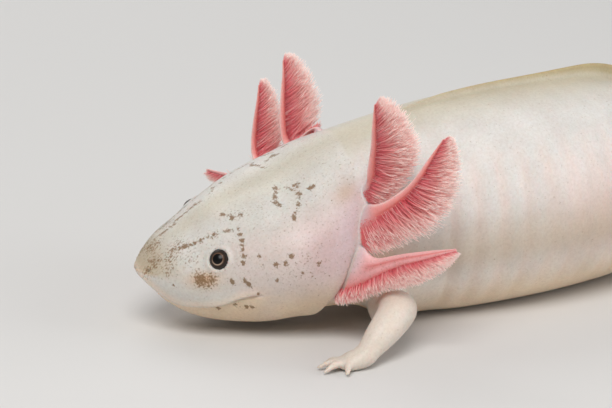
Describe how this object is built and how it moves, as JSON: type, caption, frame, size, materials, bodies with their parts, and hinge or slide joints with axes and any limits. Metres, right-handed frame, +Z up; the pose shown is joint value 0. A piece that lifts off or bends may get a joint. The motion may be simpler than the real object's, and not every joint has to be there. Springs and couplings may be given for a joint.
{
  "type": "axolotl",
  "caption": "Adult pale axolotl lying on its belly, head lifted, feathery gills spread, hands and feet down, tail curved behind; a still life-size model.",
  "frame": {"origin": "middle of the bounding box's base, on the floor beside the belly", "axes": "+X runs from the head towards the tail tip, +Y towards the animal's right side, +Z up"},
  "size_m": [0.2252, 0.084, 0.0477],
  "materials": {
    "skin": "soft moist skin, creamy white with a pink cast and small brown freckles",
    "fin": "thin moist fin skin, tan to pink",
    "gill": "soft coral red filaments on a paler stalk",
    "eye": "wet and glossy, black pupil in a dark copper ring"
  },
  "bodies": {
    "root": {"head": "skin", "eye_left": "eye", "eye_right": "eye", "neck": "skin", "torso_front": "skin", "torso_middle": "skin", "hips": "skin", "tail_base": "skin", "tail_middle": "skin", "tail_tip": "skin", "fin_back": "fin", "fin_tail_upper": "fin", "fin_tail_lower": "fin", "arm_left": "skin", "arm_right": "skin", "hand_left": "skin", "hand_right": "skin", "leg_left": "skin", "leg_right": "skin", "foot_left": "skin", "foot_right": "skin", "gill_left_upper": "gill", "gill_left_middle": "gill", "gill_left_lower": "gill", "gill_right_upper": "gill", "gill_right_middle": "gill", "gill_right_lower": "gill"}
  },
  "joints": []
}
